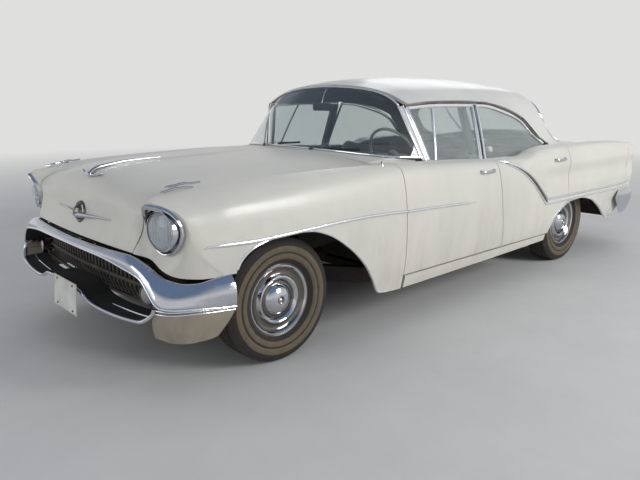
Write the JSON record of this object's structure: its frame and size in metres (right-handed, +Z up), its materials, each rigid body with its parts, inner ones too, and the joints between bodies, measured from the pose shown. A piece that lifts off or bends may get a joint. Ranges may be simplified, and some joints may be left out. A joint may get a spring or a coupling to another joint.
{
  "type": "full-size four-door sedan car",
  "caption": "Large 1950s four-door sedan with tail fins, a wraparound windscreen, a wide oval-mouthed front bumper, opening doors, hood and trunk lid, steering and rolling wheels.",
  "frame": {"origin": "on the ground under the middle of the car's bounding box", "axes": "+X towards the front of the car, +Y to the car's left, +Z up"},
  "size_m": [5.288, 1.941, 1.51],
  "materials": {
    "paint": "weathered off-white body paint",
    "chrome": "dulled bright plating",
    "glass": "clear safety glass",
    "lamp": "clear sealed lamp glass",
    "red": "red lamp lens",
    "tyre": "worn black rubber",
    "cloth": "woven seat cloth",
    "trim": "dark satin paint",
    "chassis": "black underbody paint",
    "iron": "painted castings"
  },
  "bodies": {
    "body": {"fender_left": "paint", "fender_right": "paint", "quarter_left": "paint", "quarter_right": "paint", "roof": "paint", "rear_window": "glass", "windshield": "glass", "cowl": "paint", "side_frame_left": "paint", "side_frame_right": "paint", "floor_pan": "chassis", "frame": "chassis", "front_suspension": "chassis", "rear_axle": "chassis", "propeller_shaft": "iron", "engine": "iron", "radiator": "chassis", "exhaust": "chassis", "fuel_tank": "chassis", "apron_left": "chassis", "apron_right": "chassis", "wheelhouse_left": "chassis", "wheelhouse_right": "chassis", "front_bumper": "chrome", "grille": "trim", "rear_bumper": "chrome", "tail_panel": "paint", "tail_lamp_left": "red", "tail_lamp_right": "red", "headlamp_left": "lamp", "headlamp_right": "lamp", "dashboard": "trim", "front_seat": "cloth", "rear_seat": "cloth"},
    "hood": {"hood": "paint"},
    "trunk_lid": {"trunk_lid": "paint"},
    "steering_wheel": {"steering_wheel": "trim"},
    "front_door_left": {"front_door_left": "paint", "front_glass_left": "glass"},
    "rear_door_left": {"rear_door_left": "paint", "rear_glass_left": "glass"},
    "front_door_right": {"front_door_right": "paint", "front_glass_right": "glass"},
    "rear_door_right": {"rear_door_right": "paint", "rear_glass_right": "glass"},
    "knuckle_left": {"knuckle_left": "iron"},
    "knuckle_right": {"knuckle_right": "iron"},
    "wheel_front_left": {"wheel_front_left": "chrome", "tyre_front_left": "tyre"},
    "wheel_front_right": {"wheel_front_right": "chrome", "tyre_front_right": "tyre"},
    "wheel_rear_left": {"wheel_rear_left": "chrome", "tyre_rear_left": "tyre"},
    "wheel_rear_right": {"wheel_rear_right": "chrome", "tyre_rear_right": "tyre"}
  },
  "joints": [
    {"name": "hood_hinge", "type": "hinge", "parent": "body", "child": "hood", "pos_m": [1, 0, 1.035], "axis": [0, -1, 0], "range_deg": [0, 45]},
    {"name": "trunk_hinge", "type": "hinge", "parent": "body", "child": "trunk_lid", "pos_m": [-1.825, 0, 0.975], "axis": [0, 1, 0], "range_deg": [0, 55]},
    {"name": "front_door_left_hinge", "type": "hinge", "parent": "body", "child": "front_door_left", "pos_m": [0.86, 0.935, 0.6], "axis": [0, 0, -1], "range_deg": [0, 62]},
    {"name": "rear_door_left_hinge", "type": "hinge", "parent": "body", "child": "rear_door_left", "pos_m": [-0.13, 0.96, 0.6], "axis": [0, 0, -1], "range_deg": [0, 62]},
    {"name": "front_door_right_hinge", "type": "hinge", "parent": "body", "child": "front_door_right", "pos_m": [0.86, -0.935, 0.6], "axis": [0, 0, 1], "range_deg": [0, 62]},
    {"name": "rear_door_right_hinge", "type": "hinge", "parent": "body", "child": "rear_door_right", "pos_m": [-0.13, -0.96, 0.6], "axis": [0, 0, 1], "range_deg": [0, 62]},
    {"name": "steer_left", "type": "hinge", "parent": "body", "child": "knuckle_left", "pos_m": [1.784, 0.615, 0.338], "axis": [0, 0, 1], "range_deg": [-28, 28]},
    {"name": "steer_right", "type": "hinge", "parent": "body", "child": "knuckle_right", "pos_m": [1.784, -0.615, 0.338], "axis": [0, 0, 1], "range_deg": [-28, 28]},
    {"name": "roll_front_left", "type": "hinge", "parent": "knuckle_left", "child": "wheel_front_left", "pos_m": [1.784, 0.7495, 0.338], "axis": [0, 1, 0], "continuous": true},
    {"name": "roll_front_right", "type": "hinge", "parent": "knuckle_right", "child": "wheel_front_right", "pos_m": [1.784, -0.7495, 0.338], "axis": [0, 1, 0], "continuous": true},
    {"name": "roll_rear_left", "type": "hinge", "parent": "body", "child": "wheel_rear_left", "pos_m": [-1.315, 0.7365, 0.338], "axis": [0, 1, 0], "continuous": true},
    {"name": "roll_rear_right", "type": "hinge", "parent": "body", "child": "wheel_rear_right", "pos_m": [-1.315, -0.7365, 0.338], "axis": [0, 1, 0], "continuous": true},
    {"name": "steering_column", "type": "hinge", "parent": "body", "child": "steering_wheel", "pos_m": [0.39, 0.38, 0.976], "axis": [-0.8832, 0, 0.4691], "range_deg": [-560, 560]}
  ],
  "couplings": [
    {"joint": "steer_right", "follows": "steer_left", "ratio": 1}
  ]
}
